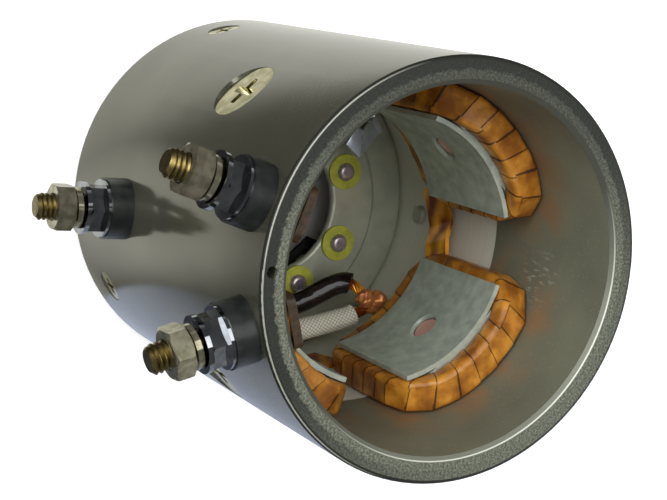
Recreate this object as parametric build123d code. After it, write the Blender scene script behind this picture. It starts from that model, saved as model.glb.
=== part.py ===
from build123d import *
import math
import os

os.makedirs("parts", exist_ok=True)

# Wound stator of a four-pole direct-current motor, in millimetres.
# The origin is the centre of the commutator end of the tube. +Z runs along the axis to the open end.
# Depths are measured from the open rim, because that is the end that the motor is built from.
# Angles are seen from the open end, and the terminals face -Y.

# Tube of the field frame
frame_radius = 57.15
frame_wall = 7.45
frame_length = 137.5
rim_round = 1.2
rim_bevel = 1.3
end_bevel = 0.8
register_step = 0.6
register_length = 6.0
dowel_hole_radius = 1.5
dowel_hole_depth = 5.0
dowel_inset = 2.75

# Poles: a core that carries the coil, and a curved shoe that faces the armature
pole_count = 4
first_pole_angle = 45.0
pole_stand = 11.7
shoe_thickness = 1.4
shoe_side_overhang = 2.3
pole_length = 42.0
core_width = 34.0
core_corner_radius = 5.0
seat_clearance = 0.05
shoe_hole_radius = 4.0
shoe_hole_bevel = 0.5

# Flat-head screws that hold the poles
screw_radius = 4.76
screw_head_radius = 9.7
screw_head_angle = 82.0
screw_head_sink = 0.9
screw_clearance = 0.08
screw_point_bevel = 1.0
recess_width = 2.3
recess_span = 10.0
recess_depth = 3.6
screw_point_inset = 1.0
screw_point_gap = 0.2

# Field coils: copper strap wound round the core and wrapped in varnished paper tape
coil_side_width = 6.1
coil_near_overhang = 6.7
coil_far_overhang = 9.0
coil_corner_radius = 15.0
coil_edge_radius = 1.3
coil_clearance = 0.25

# Copper straps between the coils
strap_width = 12.0
strap_thickness = 1.3
strap_inset = 4.4
strap_joggle = 2.2
strap_end_drop = 1.2
strap_bend_radius = 1.6
strap_end_inset = 4.9
strap_entry_angle = 11.0
strap_exit_angle = 6.0
strap_slant = 20.0

# Terminal studs
stud_radius = 3.97
stud_reach = 26.85
stud_tip_bevel = 1.0
stud_head_width = 12.6
stud_head_thickness = 2.0
stud_clearance = 0.12
terminal_angle = -90.0
field_terminal_spread = 17.2
field_terminal_depth = 11.6
coil_terminal_gap = 16.9
armature_terminal_rise = 17.4

# Insulation round the studs
bushing_radius = 9.0
bushing_height = 3.3
bushing_spigot_radius = 6.2
spigot_clearance = 0.1
fibre_washer_height = 3.1
inner_insulator_radius = 8.6
inner_insulator_thickness = 1.0

# Cloth caps over the heads of the field studs
head_cap_thickness = 0.6
head_cap_wall = 1.1
head_cap_corner_radius = 2.5
head_cap_clearance = 0.1

# Hardware on the studs
clamp_washer_radius = 8.5
clamp_washer_thickness = 1.1
nut_across_flats = 12.7
base_nut_thickness = 4.7
outer_nut_thickness = 5.4
nut_chamfer_angle = 30.0
flat_washer_radius = 7.7
flat_washer_thickness = 1.3
lock_washer_outer_radius = 6.1
lock_washer_thickness = 1.6
lock_washer_rise = 1.2
lock_washer_gap_angle = 16.0

# Brush plate: a pressed steel cup with a raised collar round the commutator hole
plate_gap = 25.8
plate_thickness = 1.8
collar_height = 1.6
commutator_hole_radius = 22.0
commutator_edge_radius = 1.3
collar_margin = 1.8
collar_slope = 1.6
plate_fit = 0.15
plate_flange = 11.0
plate_bend_radius = 2.0
plate_screw_drop = 8.0
plate_screw_angles = (-60.1, 19.0, 119.9, 199.0)
plate_screw_radius = 2.4
plate_screw_head_radius = 4.9
plate_screw_length = 11.0
plate_screw_sink = 0.45
plate_recess_span = 5.4
plate_recess_width = 1.3
plate_recess_depth = 1.2

# Rivets and insulation that hold the brush holders on the plate
rivet_hole_inset = 5.9
rivet_spacing_angle = 40.0
rivet_radius = 1.6
rivet_head_radius = 3.0
rivet_head_height = 1.7
rivet_round_share = 0.9
rivet_tail_radius = 2.5
rivet_tail_height = 1.0
rivet_clearance = 0.1
rivet_washer_radius = 5.8
rivet_washer_thickness = 1.0
holder_insulator_thickness = 0.8
holder_insulator_border = 0.8

# Brush holders: a base with ears, and a box that is open at both ends
holder_base_thickness = 1.2
holder_hole_inset = 1.8
holder_hole_gap = 0.2
box_length = 11.2
box_width = 13.0
box_height = 10.4
box_wall = 1.2
box_step = 1.2
box_slot_width = 3.6
box_slot_share = 0.75
ear_radius = 3.6
ear_root = 3.0
tab_radius = 3.2
tab_reach = 24.6
tab_side = 19.4
post_reach = 28.4
post_side = -14.3
post_radius = 2.0
post_foot_radius = 2.6
post_foot_height = 1.8
post_height = 7.4

# Brush springs: a flat spiral on the post, with an arm behind the box
spring_strip = 0.5
spring_width = 4.0
spring_first_radius = 2.45
spring_growth = 0.6
spring_half_turns = 5
spring_arm_bend = 1.6
spring_clearance = 0.2
spring_tip_reach = 1.6

# Pin in the wall opposite the terminals
wall_pin_angle = 90.0
wall_pin_rise = 11.0
wall_pin_radius = 2.4
wall_pin_head_radius = 3.0
wall_pin_head_height = 2.0
wall_pin_round = 1.2
wall_pin_sink = 0.4

# Armature lead: stranded copper in a braided glass sleeve, from its terminal to the splice
lead_radius = 2.1
lead_sleeve_radius = 3.6
lead_sleeve_clearance = 0.2
lead_sleeve_start = 6.2
lead_bare_end = 8.4
lead_wall_gap = 4.06
bend_share = 0.45
lug_thickness = 1.0
lug_ring_radius = 6.6
lug_barrel_inset = 8.2
lug_barrel_radius = 3.0
lug_barrel_start = 7.6
lug_barrel_length = 8.0
lug_insert = 5.0
lug_bend_radius = 0.9
lug_step_gap = 0.8
lug_step_run = 2.6

# Brush lead: stranded copper in a black sleeve, from the splice through the plate
brush_lead_radius = 1.9
brush_sleeve_radius = 3.7
brush_sleeve_start = 7.2
brush_sleeve_hole_clearance = 0.3
brush_lead_tail = 2.2

# Splice: two soldered lumps that join the bare ends of the leads
armature_lump_radius = 3.3
armature_lump_length = 8.6
brush_lump_radius = 3.0
brush_lump_length = 6.8
splice_round_share = 0.75
splice_clearance = 0.12

# Leads of the first and last coil
coil_lead_width = 7.0
coil_lead_wrap = 0.5
coil_lead_wrap_clearance = 0.1
coil_lead_cover_start = 0.3

# How far the tools that cut a form reach past it
cut_margin = 1.0

# Sizes that follow from the ones above
bore_radius = frame_radius - frame_wall
register_radius = bore_radius + register_step
dowel_circle_radius = frame_radius - dowel_inset
armature_bore_radius = bore_radius - pole_stand
shoe_outer_radius = armature_bore_radius + shoe_thickness
shoe_half_angle = math.degrees(math.asin(core_width / 2 / armature_bore_radius)
                               + shoe_side_overhang / armature_bore_radius)
coil_inner_radius = shoe_outer_radius + coil_clearance
coil_outer_radius = bore_radius - coil_clearance
window_half_width = core_width / 2 + coil_clearance
window_half_angle = math.degrees(math.asin(window_half_width / coil_inner_radius))
coil_half_angle = window_half_angle + math.degrees(coil_side_width / coil_inner_radius)
coil_length = coil_near_overhang + pole_length + coil_far_overhang
coil_shift = (coil_far_overhang - coil_near_overhang) / 2
strap_radius = bore_radius - strap_inset
stud_tip_radius = frame_radius + stud_reach
lug_barrel_place = bore_radius - lug_barrel_inset
rivet_circle_radius = commutator_hole_radius + rivet_hole_inset
holder_inner_radius = commutator_hole_radius + holder_hole_inset
box_outer_radius = holder_inner_radius + box_length
collar_radius = box_outer_radius + collar_margin
tab_place = (tab_reach, tab_side)
post_place = (post_reach, post_side)

# Depths from the open rim: the coils follow the field terminals, and the brush plate follows the coils
coil_near_depth = field_terminal_depth + coil_terminal_gap
coil_far_depth = coil_near_depth + coil_length
pole_depth = coil_near_depth + coil_near_overhang + pole_length / 2
strap_middle_depth = coil_far_depth - strap_end_inset
plate_depth = coil_far_depth + plate_gap
plate_screw_depth = plate_depth + plate_screw_drop
armature_terminal_depth = plate_depth - armature_terminal_rise
wall_pin_depth = plate_depth - wall_pin_rise

# Heights in the frame of the tube
pole_height = frame_length - pole_depth
coil_near_end = frame_length - coil_near_depth
plate_front = frame_length - plate_depth
plate_back = plate_front - plate_thickness
holder_base_top = plate_back - holder_insulator_thickness
holder_base_bottom = holder_base_top - holder_base_thickness
pole_angles = [first_pole_angle + 360 / pole_count * i for i in range(pole_count)]
field_height = frame_length - field_terminal_depth
armature_height = frame_length - armature_terminal_depth
terminals = [
    (terminal_angle + field_terminal_spread, field_height),
    (terminal_angle - field_terminal_spread, field_height),
    (terminal_angle, armature_height),
]
screw_cone_height = (screw_head_radius - screw_radius) / math.tan(math.radians(screw_head_angle / 2))
nut_corner_radius = nut_across_flats / 2 / math.cos(math.radians(30))

# Places of the terminal hardware, as distances from the axis of the tube
fibre_washer_place = frame_radius + bushing_height
clamp_washer_place = fibre_washer_place + fibre_washer_height
base_nut_place = clamp_washer_place + clamp_washer_thickness
flat_washer_place = base_nut_place + base_nut_thickness
lock_washer_place = flat_washer_place + flat_washer_thickness
outer_nut_place = lock_washer_place + lock_washer_thickness + lock_washer_rise
inner_insulator_place = bore_radius - inner_insulator_thickness
lug_place = inner_insulator_place - lug_thickness
stud_head_place = lug_place - stud_head_thickness

# Ways to stand a round body on its own plane, or to hang it from it
from_bottom = (Align.CENTER, Align.CENTER, Align.MIN)
from_top = (Align.CENTER, Align.CENTER, Align.MAX)


def polar(radius, angle):
    """Point in the XY plane at a distance from the axis and an angle in degrees."""
    return (radius * math.cos(math.radians(angle)), radius * math.sin(math.radians(angle)))


def outward(angle, height, radius=0.0):
    """Location on the radius at this angle and height, with its Z axis pointing away from the tube."""
    return Pos(0, 0, height) * Rot(0, 0, angle) * Pos(radius, 0, 0) * Rot(0, 90, 0)


def turned(points):
    """Solid of revolution about Z of an outline given as (radius, height) points."""
    outline = Polyline(*[(r, 0, z) for r, z in points], close=True)
    return revolve(make_face(outline), axis=Axis.Z)


def ring(inner_radius, outer_radius, height):
    """Flat washer that stands on the XY plane."""
    disc = Cylinder(outer_radius, height) - Cylinder(inner_radius, height)
    return Pos(0, 0, height / 2) * disc


def sector(inner_radius, outer_radius, half_angle, length):
    """Curved plate about the Z axis, centred on +X and on the XY plane."""
    half = length / 2
    outline = Polyline((inner_radius, 0, -half), (outer_radius, 0, -half),
                       (outer_radius, 0, half), (inner_radius, 0, half), close=True)
    return Rot(0, 0, -half_angle) * revolve(make_face(outline), axis=Axis.Z, revolution_arc=2 * half_angle)


def radial_edges(solid):
    """Straight edges that lie in planes across the axis."""
    lines = solid.edges().filter_by(GeomType.LINE)
    return [edge for edge in lines if abs(edge.tangent_at(0.5).Z) < 0.01]


def group(solids):
    """Compound of separate solids that share one file."""
    return Compound(children=[part.solid() for part in solids])


def save(shape, name):
    """Write one node."""
    export_step(shape, "parts/" + name + ".step")


def countersink_cut(radius, head_radius, angle, surface_radius, sink):
    """Cutter for a screw hole with its cone mouth at the outside of the tube, along +Z."""
    cone_height = (head_radius - radius) / math.tan(math.radians(angle / 2))
    top = surface_radius - sink
    mouth = head_radius + sink
    points = [
        (0, top - cone_height - frame_wall),
        (radius, top - cone_height - frame_wall),
        (radius, top - cone_height),
        (head_radius, top),
        (mouth, top + sink),
        (mouth, top + 4 * sink),
        (0, top + 4 * sink),
    ]
    return turned(points)


def field_frame():
    """Rolled steel tube with its screw, terminal and dowel holes."""
    outer = frame_radius
    inner = bore_radius
    length = frame_length
    profile = Polyline(
        (register_radius, 0, 0),
        (outer - end_bevel, 0, 0),
        (outer, 0, end_bevel),
        (outer, 0, length),
        (inner + rim_bevel, 0, length),
        (inner, 0, length - rim_bevel),
        (inner, 0, register_length),
        (register_radius, 0, register_length),
        close=True,
    )
    tube = revolve(make_face(profile), axis=Axis.Z)
    rim_edge = [e for e in tube.edges().filter_by(GeomType.CIRCLE)
                if abs(e.center().Z - length) < 0.01 and abs(e.radius - outer) < 0.01]
    tube = fillet(rim_edge, rim_round)
    pole_cut = countersink_cut(screw_radius + screw_clearance, screw_head_radius + screw_clearance,
                               screw_head_angle, frame_radius, screw_head_sink)
    for angle in pole_angles:
        tube -= outward(angle, pole_height) * pole_cut
    plate_cut = countersink_cut(plate_screw_radius + screw_clearance,
                                plate_screw_head_radius + screw_clearance,
                                screw_head_angle, frame_radius, plate_screw_sink)
    for angle in plate_screw_angles:
        tube -= outward(angle, frame_length - plate_screw_depth) * plate_cut
    stud_hole = Cylinder(bushing_spigot_radius + spigot_clearance, 3 * frame_wall)
    for angle, height in terminals:
        tube -= outward(angle, height, frame_radius) * stud_hole
    pin_hole = Cylinder(wall_pin_radius + seat_clearance, 3 * frame_wall)
    tube -= outward(wall_pin_angle, length - wall_pin_depth, frame_radius) * pin_hole
    dowel_x, dowel_y = polar(dowel_circle_radius, terminal_angle)
    tube -= Pos(dowel_x, dowel_y, length) * Cylinder(dowel_hole_radius, 2 * dowel_hole_depth)
    return tube


def pole():
    """Pole core and shoe in one piece, on +X, with its length centred on the XY plane."""
    shoe = sector(armature_bore_radius, shoe_outer_radius, shoe_half_angle, pole_length)
    back_radius = bore_radius - seat_clearance
    core_depth = back_radius - armature_bore_radius
    core = Pos(armature_bore_radius + core_depth / 2, 0, 0) * Box(core_depth, core_width, pole_length)
    core = fillet(core.edges().filter_by(Axis.X), core_corner_radius)
    core = core & Cylinder(back_radius, 2 * pole_length)
    core -= Cylinder(armature_bore_radius + shoe_thickness / 2, 2 * pole_length)
    solid = shoe + core
    tapped = Cylinder(screw_radius + screw_clearance, core_depth)
    solid -= Pos(armature_bore_radius + screw_point_inset + core_depth / 2, 0, 0) * Rot(0, 90, 0) * tapped
    solid -= Pos(armature_bore_radius, 0, 0) * Rot(0, 90, 0) * Cylinder(shoe_hole_radius, 4 * shoe_thickness)
    bevel = Cone(shoe_hole_radius + 2 * shoe_hole_bevel, shoe_hole_radius, 2 * shoe_hole_bevel)
    solid -= Pos(armature_bore_radius, 0, 0) * Rot(0, 90, 0) * bevel
    return solid


def pole_screw():
    """Countersunk screw along +Z, with its place measured from the axis of the tube."""
    top = frame_radius - screw_head_sink
    point = armature_bore_radius + screw_point_inset + screw_point_gap
    points = [
        (0, point),
        (screw_radius - screw_point_bevel, point),
        (screw_radius, point + screw_point_bevel),
        (screw_radius, top - screw_cone_height),
        (screw_head_radius, top),
        (0, top),
    ]
    solid = turned(points)
    slot = Pos(0, 0, top) * Box(recess_span, recess_width, 2 * recess_depth)
    taper = Pos(0, 0, top - recess_depth) * Cone(recess_width / 2, recess_span / 2, recess_depth,
                                                 align=from_bottom)
    recess = (slot + Rot(0, 0, 90) * slot) & taper
    return solid - recess


def coil_block():
    """Outer form of a coil on +X without its window, with its pole centred on the XY plane."""
    block = sector(coil_inner_radius, coil_outer_radius, coil_half_angle, coil_length)
    return Pos(0, 0, -coil_shift) * fillet(radial_edges(block), coil_corner_radius)


def coil():
    """Wrapped coil bent to the curve of the tube, with a window for the pole core."""
    window_length = pole_length + 2 * coil_clearance
    window = sector(coil_inner_radius / 2, 2 * coil_outer_radius, window_half_angle, window_length)
    window = fillet(radial_edges(window), core_corner_radius)
    solid = coil_block() - window
    flat_lines = radial_edges(solid)
    corners = [e for e in solid.edges() if not any(e.is_same(line) for line in flat_lines)]
    return fillet(corners, coil_edge_radius)


def coil_link():
    """Slanted copper strap across the gap between two coils, with a joggle in its middle, on +X."""
    half_gap_angle = 180 / pole_count - coil_half_angle
    start = strap_radius * math.sin(math.radians(half_gap_angle + strap_entry_angle))
    end = strap_radius * math.sin(math.radians(half_gap_angle + strap_exit_angle))
    shallow = strap_radius - strap_joggle
    path = FilletPolyline(
        (shallow - strap_end_drop, -start),
        (shallow, -start / 3),
        (strap_radius, 0),
        (strap_radius - strap_end_drop, end),
        radius=strap_bend_radius,
    )
    ribbon = trace(path, strap_thickness)
    return Rot(-strap_slant, 0, 0) * extrude(ribbon, strap_width / 2, both=True)


def hex_nut(thickness, both_sides):
    """Hexagon nut that stands on the XY plane, with its corners turned down to a cone."""
    body = extrude(RegularPolygon(nut_corner_radius, 6), thickness)
    rise = math.tan(math.radians(nut_chamfer_angle))
    flat = nut_across_flats / 2
    top = thickness
    reach = nut_corner_radius + cut_margin
    bottom_radius = flat if both_sides else reach
    bottom_height = (reach - flat) * rise if both_sides else 0
    points = [(0, 0), (bottom_radius, 0)]
    if both_sides:
        points.append((reach, bottom_height))
    points += [(reach, top - (reach - flat) * rise), (flat, top), (0, top)]
    body = body & turned(points)
    return body - Cylinder(stud_radius + stud_clearance, 4 * thickness)


def lock_washer():
    """Split spring washer: one turn of square wire that rises from end to end."""
    inner = stud_radius + 2 * stud_clearance
    width = lock_washer_outer_radius - inner
    middle = inner + width / 2
    turn = 1 - lock_washer_gap_angle / 360
    path = Helix(pitch=lock_washer_rise / turn, height=lock_washer_rise, radius=middle)
    start = Plane(origin=path @ 0, z_dir=path % 0, x_dir=(1, 0, 0))
    section = start * Rectangle(width, lock_washer_thickness)
    solid = sweep(section, path, is_frenet=True)
    box = solid.bounding_box()
    return Pos(0, 0, -box.min.Z) * solid


def terminal_stud(angle, height):
    """Stud with a square head inside the tube."""
    points = [
        (0, stud_head_place),
        (stud_radius, stud_head_place),
        (stud_radius, stud_tip_radius - stud_tip_bevel),
        (stud_radius - stud_tip_bevel, stud_tip_radius),
        (0, stud_tip_radius),
    ]
    head = Box(stud_head_width, stud_head_width, stud_head_thickness)
    head = chamfer(head.edges().filter_by(Axis.Z), stud_tip_bevel)
    head = Pos(0, 0, stud_head_place + stud_head_thickness / 2) * head
    return outward(angle, height) * (turned(points) + head)


def head_cap():
    """Varnished cloth cap over the head of a stud, along +Z from the axis of the tube."""
    room = stud_head_width + 2 * head_cap_clearance
    width = room + 2 * head_cap_wall
    depth = stud_head_thickness + head_cap_thickness
    cap = Box(width, width, depth, align=from_top)
    cap = fillet(cap.edges().filter_by(Axis.Z), head_cap_corner_radius)
    cap = fillet(cap.edges().group_by(Axis.Z)[0], head_cap_thickness / 2)
    cap -= Box(room, room, stud_head_thickness, align=from_top)
    return Pos(0, 0, lug_place) * cap


def terminal_bushing(angle, height):
    """Insulating bushing: a collar saddled on the tube, and a spigot through its wall."""
    hole_radius = stud_radius + stud_clearance
    collar = Pos(0, 0, inner_insulator_place) * ring(hole_radius, bushing_radius,
                                                     fibre_washer_place - inner_insulator_place)
    placed = outward(angle, height) * collar
    placed -= Cylinder(frame_radius + seat_clearance / 2, 4 * frame_length)
    spigot_length = frame_radius - bore_radius + bushing_height / 2
    spigot = outward(angle, height, bore_radius) * ring(hole_radius, bushing_spigot_radius, spigot_length)
    return placed + spigot


def inner_insulator(angle, height):
    """Insulating washer inside the tube, with its back curved to the bore."""
    hole_radius = stud_radius + stud_clearance
    disc = outward(angle, height, inner_insulator_place) * ring(hole_radius, inner_insulator_radius,
                                                                2 * inner_insulator_thickness)
    disc = disc & Cylinder(bore_radius - seat_clearance / 2, 4 * frame_length)
    spigot_room = Cylinder(bushing_spigot_radius + spigot_clearance, 2 * inner_insulator_thickness,
                           align=from_bottom)
    return disc - outward(angle, height, bore_radius - seat_clearance) * spigot_room


def coil_lead(angle, height):
    """Copper strap with an eye on the stud that runs along the bore into the end of a coil."""
    eye = ring(stud_radius + stud_clearance, lug_ring_radius, lug_thickness)
    run = height - coil_near_end + coil_corner_radius
    tongue = Pos(run / 2, 0, lug_thickness / 2) * Box(run, coil_lead_width, lug_thickness)
    tongue -= Cylinder(stud_radius + stud_clearance, 4 * lug_thickness)
    return outward(angle, height, lug_place) * (eye + tongue)


def coil_lead_cover(angle, height):
    """Paper wrap on the strap, from the insulator's edge to the coil."""
    start = inner_insulator_radius + coil_lead_cover_start
    run = height - coil_near_end + coil_corner_radius - start
    gap = coil_lead_wrap_clearance
    room_width = coil_lead_width + 2 * gap
    room_height = lug_thickness + 2 * gap
    inner = Box(2 * run, room_width, room_height)
    outer = Box(run, room_width + 2 * coil_lead_wrap, room_height + 2 * coil_lead_wrap)
    outer = fillet(outer.edges().filter_by(Axis.X), coil_lead_wrap)
    cover = Pos(start + run / 2, 0, lug_thickness / 2) * (outer - inner)
    return outward(angle, height, lug_place) * cover


def brush_plate():
    """Pressed steel plate that closes the commutator end, with its holes."""
    outer = bore_radius - plate_fit
    front = plate_front
    t = plate_thickness
    low = front - collar_height
    profile = Polyline(
        (commutator_hole_radius, 0, front),
        (collar_radius, 0, front),
        (collar_radius + collar_slope, 0, low),
        (outer, 0, low),
        (outer, 0, low - plate_flange),
        (outer - t, 0, low - plate_flange),
        (outer - t, 0, low - t),
        (collar_radius + collar_slope - t / 2, 0, low - t),
        (collar_radius - t / 2, 0, front - t),
        (commutator_hole_radius, 0, front - t),
        close=True,
    )
    plate = revolve(make_face(profile), axis=Axis.Z)
    circles = plate.edges().filter_by(GeomType.CIRCLE)
    mouth = [e for e in circles
             if abs(e.radius - commutator_hole_radius) < 0.01 and e.center().Z > front - 0.01]
    plate = fillet(mouth, commutator_edge_radius)
    circles = plate.edges().filter_by(GeomType.CIRCLE)
    bend = [e for e in circles if abs(e.radius - outer) < 0.01 and abs(e.center().Z - low) < 0.01]
    plate = fillet(bend, plate_bend_radius)
    for x, y in rivet_places():
        plate -= Pos(x, y, front) * Cylinder(rivet_radius + rivet_clearance, 4 * t)
    lead_x, lead_y = tab_point(lead_holder_angle)
    plate -= Pos(lead_x, lead_y, front) * Cylinder(brush_sleeve_radius + brush_sleeve_hole_clearance, 4 * t)
    for angle in plate_screw_angles:
        hole = Cylinder(plate_screw_radius + screw_clearance, 4 * frame_wall)
        plate -= outward(angle, frame_length - plate_screw_depth, bore_radius) * hole
    return plate


def rivet_places():
    """Centres of the eight rivets, two for each brush holder."""
    places = []
    for angle in pole_angles:
        places.append(polar(rivet_circle_radius, angle - rivet_spacing_angle / 2))
        places.append(polar(rivet_circle_radius, angle + rivet_spacing_angle / 2))
    return places


def tab_point(angle):
    """Place of a brush holder's lead tab in the frame of the tube."""
    reach = math.hypot(*tab_place)
    return polar(reach, angle + math.degrees(math.atan2(tab_place[1], tab_place[0])))


def holder_footprint(border):
    """Outline of a brush holder's base on +X, wider by a border."""
    ear_x, ear_y = polar(rivet_circle_radius, rivet_spacing_angle / 2)
    inner_x = holder_inner_radius - border
    outer_x = box_outer_radius - box_step
    body = Pos((inner_x + outer_x) / 2, 0) * Rectangle(outer_x - inner_x, box_width + 2 * border)
    root = Pos(ear_x + ear_root, 0) * Circle(ear_radius)
    left_ear = make_hull((Pos(ear_x, ear_y) * Circle(ear_radius + border)
                          + Pos(tab_place) * Circle(tab_radius + border) + root).edges())
    right_ear = make_hull((Pos(ear_x, -ear_y) * Circle(ear_radius + border)
                           + Pos(post_place) * Circle(post_foot_radius + border) + root).edges())
    outline = body + left_ear + right_ear
    return outline - Circle(commutator_hole_radius + holder_hole_gap)


def brush_holder():
    """Brush holder on +X: base with ears, box with a slot, and the post of its spring."""
    base = extrude(holder_footprint(0), holder_base_thickness)
    box_middle = (box_outer_radius + holder_inner_radius) / 2
    shell = Box(box_length, box_width, box_height) - Box(2 * box_length, box_width - 2 * box_wall,
                                                        box_height - 2 * box_wall)
    slot_length = box_slot_share * box_length
    slot = Pos(box_length / 2, 0, -box_height / 2) * Box(2 * slot_length, box_slot_width, 3 * box_wall)
    shell = Pos(box_middle, 0, -box_height / 2) * (shell - slot)
    post = Pos(*post_place, -post_foot_height / 2) * Cylinder(post_foot_radius, post_foot_height)
    post += Pos(*post_place, -post_height / 2) * Cylinder(post_radius, post_height)
    solid = base + shell + post
    ear_x, ear_y = polar(rivet_circle_radius, rivet_spacing_angle / 2)
    hole = Cylinder(rivet_radius + rivet_clearance, 10 * holder_base_thickness)
    solid -= Pos(ear_x, ear_y, 0) * hole
    solid -= Pos(ear_x, -ear_y, 0) * hole
    solid -= Pos(*tab_place, 0) * Cylinder(brush_lead_radius + seat_clearance, 10 * holder_base_thickness)
    return Pos(0, 0, holder_base_bottom) * solid


def holder_insulator():
    """Fibre sheet between the plate and a brush holder."""
    sheet = extrude(holder_footprint(holder_insulator_border), holder_insulator_thickness)
    ear_x, ear_y = polar(rivet_circle_radius, rivet_spacing_angle / 2)
    hole = Cylinder(rivet_radius + rivet_clearance, 10 * holder_insulator_thickness)
    sheet -= Pos(ear_x, ear_y, 0) * hole
    sheet -= Pos(ear_x, -ear_y, 0) * hole
    lead_hole = Cylinder(brush_lead_radius + lead_sleeve_clearance, 10 * holder_insulator_thickness)
    sheet -= Pos(*tab_place, 0) * lead_hole
    return Pos(0, 0, holder_base_top) * sheet


def half_ring(middle_radius, side):
    """Half of a spring turn, on the right (+1) or the left (-1) of its own Y axis."""
    half_strip = spring_strip / 2
    turn = Circle(middle_radius + half_strip) - Circle(middle_radius - half_strip)
    reach = 2 * middle_radius + cut_margin
    return turn & (Pos(side * reach / 2, 0) * Rectangle(reach, 2 * reach))


def brush_spring():
    """Flat spiral spring on +X, with its arm behind the brush box."""
    post_x, post_y = post_place
    outline = None
    middle = 0.0
    for i in range(spring_half_turns):
        side = 1 if i % 2 == 0 else -1
        piece = Pos(0, middle) * half_ring(spring_first_radius + spring_growth * i, side)
        outline = piece if outline is None else outline + piece
        last_radius = spring_first_radius + spring_growth * i
        end_y = middle + side * last_radius
        middle -= side * spring_growth
    bend = spring_arm_bend
    arm_x = box_outer_radius + spring_clearance + spring_strip / 2 - post_x
    run = arm_x - bend
    outline += Pos(run / 2, end_y) * Rectangle(run, spring_strip)
    corner = Circle(bend + spring_strip / 2) - Circle(bend - spring_strip / 2)
    corner = corner & (Pos(bend, -bend) * Rectangle(2 * bend, 2 * bend))
    outline += Pos(run, end_y + bend) * corner
    arm_rise = -post_y - end_y - bend + spring_tip_reach
    outline += Pos(arm_x, end_y + bend + arm_rise / 2) * Rectangle(spring_strip, arm_rise)
    spring = extrude(outline, spring_width)
    bottom = holder_base_bottom - post_foot_height - spring_clearance - spring_width
    return Pos(post_x, post_y, bottom) * spring


def rivet():
    """Rivet through the washer, the plate, the fibre sheet and an ear, with its head towards +Z."""
    head_base = plate_front + rivet_washer_thickness
    tail = holder_base_bottom
    shank = Pos(0, 0, tail) * Cylinder(rivet_radius, head_base - tail, align=from_bottom)
    head = Pos(0, 0, head_base) * Cylinder(rivet_head_radius, rivet_head_height,
                                           align=from_bottom)
    head = fillet(head.edges().group_by(Axis.Z)[-1], rivet_round_share * rivet_head_height)
    upset = Pos(0, 0, tail) * Cylinder(rivet_tail_radius, rivet_tail_height,
                                       align=from_top)
    upset = chamfer(upset.edges().group_by(Axis.Z)[0], rivet_tail_height / 2)
    return shank + head + upset


def plate_screw():
    """Countersunk screw along +Z through the tube into the plate's flange."""
    top = frame_radius - plate_screw_sink
    cone = (plate_screw_head_radius - plate_screw_radius) / math.tan(math.radians(screw_head_angle / 2))
    points = [
        (0, top - plate_screw_length),
        (plate_screw_radius, top - plate_screw_length),
        (plate_screw_radius, top - cone),
        (plate_screw_head_radius, top),
        (0, top),
    ]
    slot = Pos(0, 0, top) * Box(plate_recess_span, plate_recess_width, 2 * plate_recess_depth)
    return turned(points) - slot - Rot(0, 0, 90) * slot


def wall_pin():
    """Pin pressed in the wall from inside, with a button head."""
    head_top = bore_radius - wall_pin_head_height
    sink = bore_radius - math.sqrt(bore_radius ** 2 - wall_pin_head_radius ** 2) + seat_clearance
    head = Pos(0, 0, head_top) * Cylinder(wall_pin_head_radius, wall_pin_head_height - sink,
                                          align=from_bottom)
    head = fillet(head.edges().group_by(Axis.Z)[0], wall_pin_round)
    shank_bottom = head_top + wall_pin_head_height / 2
    shank = Pos(0, 0, shank_bottom) * Cylinder(wall_pin_radius, frame_radius - wall_pin_sink - shank_bottom,
                                               align=from_bottom)
    return outward(wall_pin_angle, frame_length - wall_pin_depth) * (head + shank)


def route(points):
    """Straight runs joined by arcs that are as large as the runs allow."""
    vectors = [Vector(*p) for p in points]
    radii = []
    for before, corner, after in zip(vectors, vectors[1:], vectors[2:]):
        turn = (corner - before).get_angle(after - corner)
        shorter = min((corner - before).length, (after - corner).length)
        radii.append(bend_share * shorter / math.tan(math.radians(turn / 2)))
    return FilletPolyline(*vectors, radius=radii)


def tube_along(path, outer_radius, inner_radius=0.0):
    """Rod or hose along a route."""
    start = Plane(origin=path @ 0, z_dir=path % 0)
    solid = sweep(start * Circle(outer_radius), path)
    if inner_radius > 0:
        solid -= sweep(start * Circle(inner_radius), path)
    return solid


def stretch(path, start, end):
    """Part of a route between two distances along it."""
    return path.trim(start / path.length, end / path.length)


def over_plate(points):
    """Points given as inset from the bore, angle and rise over the plate, in the frame of the tube."""
    return [(*polar(bore_radius - inset, angle), plate_front + rise) for inset, angle, rise in points]


def armature_lug():
    """Copper lug on the armature stud: an eye, a stepped tongue and a barrel for the lead."""
    eye = ring(stud_radius + stud_clearance, lug_ring_radius, lug_thickness)
    barrel_level = lug_barrel_place - lug_place
    step_start = stud_head_width / 2 + lug_step_gap
    path = FilletPolyline(
        (0, lug_thickness / 2),
        (step_start, lug_thickness / 2),
        (step_start + lug_step_run, barrel_level + lug_barrel_radius - lug_thickness / 2),
        (lug_barrel_start + lug_barrel_length, barrel_level + lug_barrel_radius - lug_thickness / 2),
        radius=lug_bend_radius,
    )
    tongue = extrude(Plane.YZ * trace(path, lug_thickness), lug_barrel_radius, both=True)
    tongue -= Cylinder(stud_radius + stud_clearance, 4 * lug_thickness)
    barrel = Rot(-90, 0, 0) * Cylinder(lug_barrel_radius, lug_barrel_length, align=from_bottom)
    bore = Rot(90, 0, 0) * Cylinder(lead_radius + seat_clearance, lug_insert, align=from_bottom)
    solid = eye + tongue + Pos(0, lug_barrel_start, barrel_level) * barrel
    solid -= Pos(0, lug_barrel_start + lug_barrel_length, barrel_level) * bore
    return outward(terminal_angle, armature_height, lug_place) * solid


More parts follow.
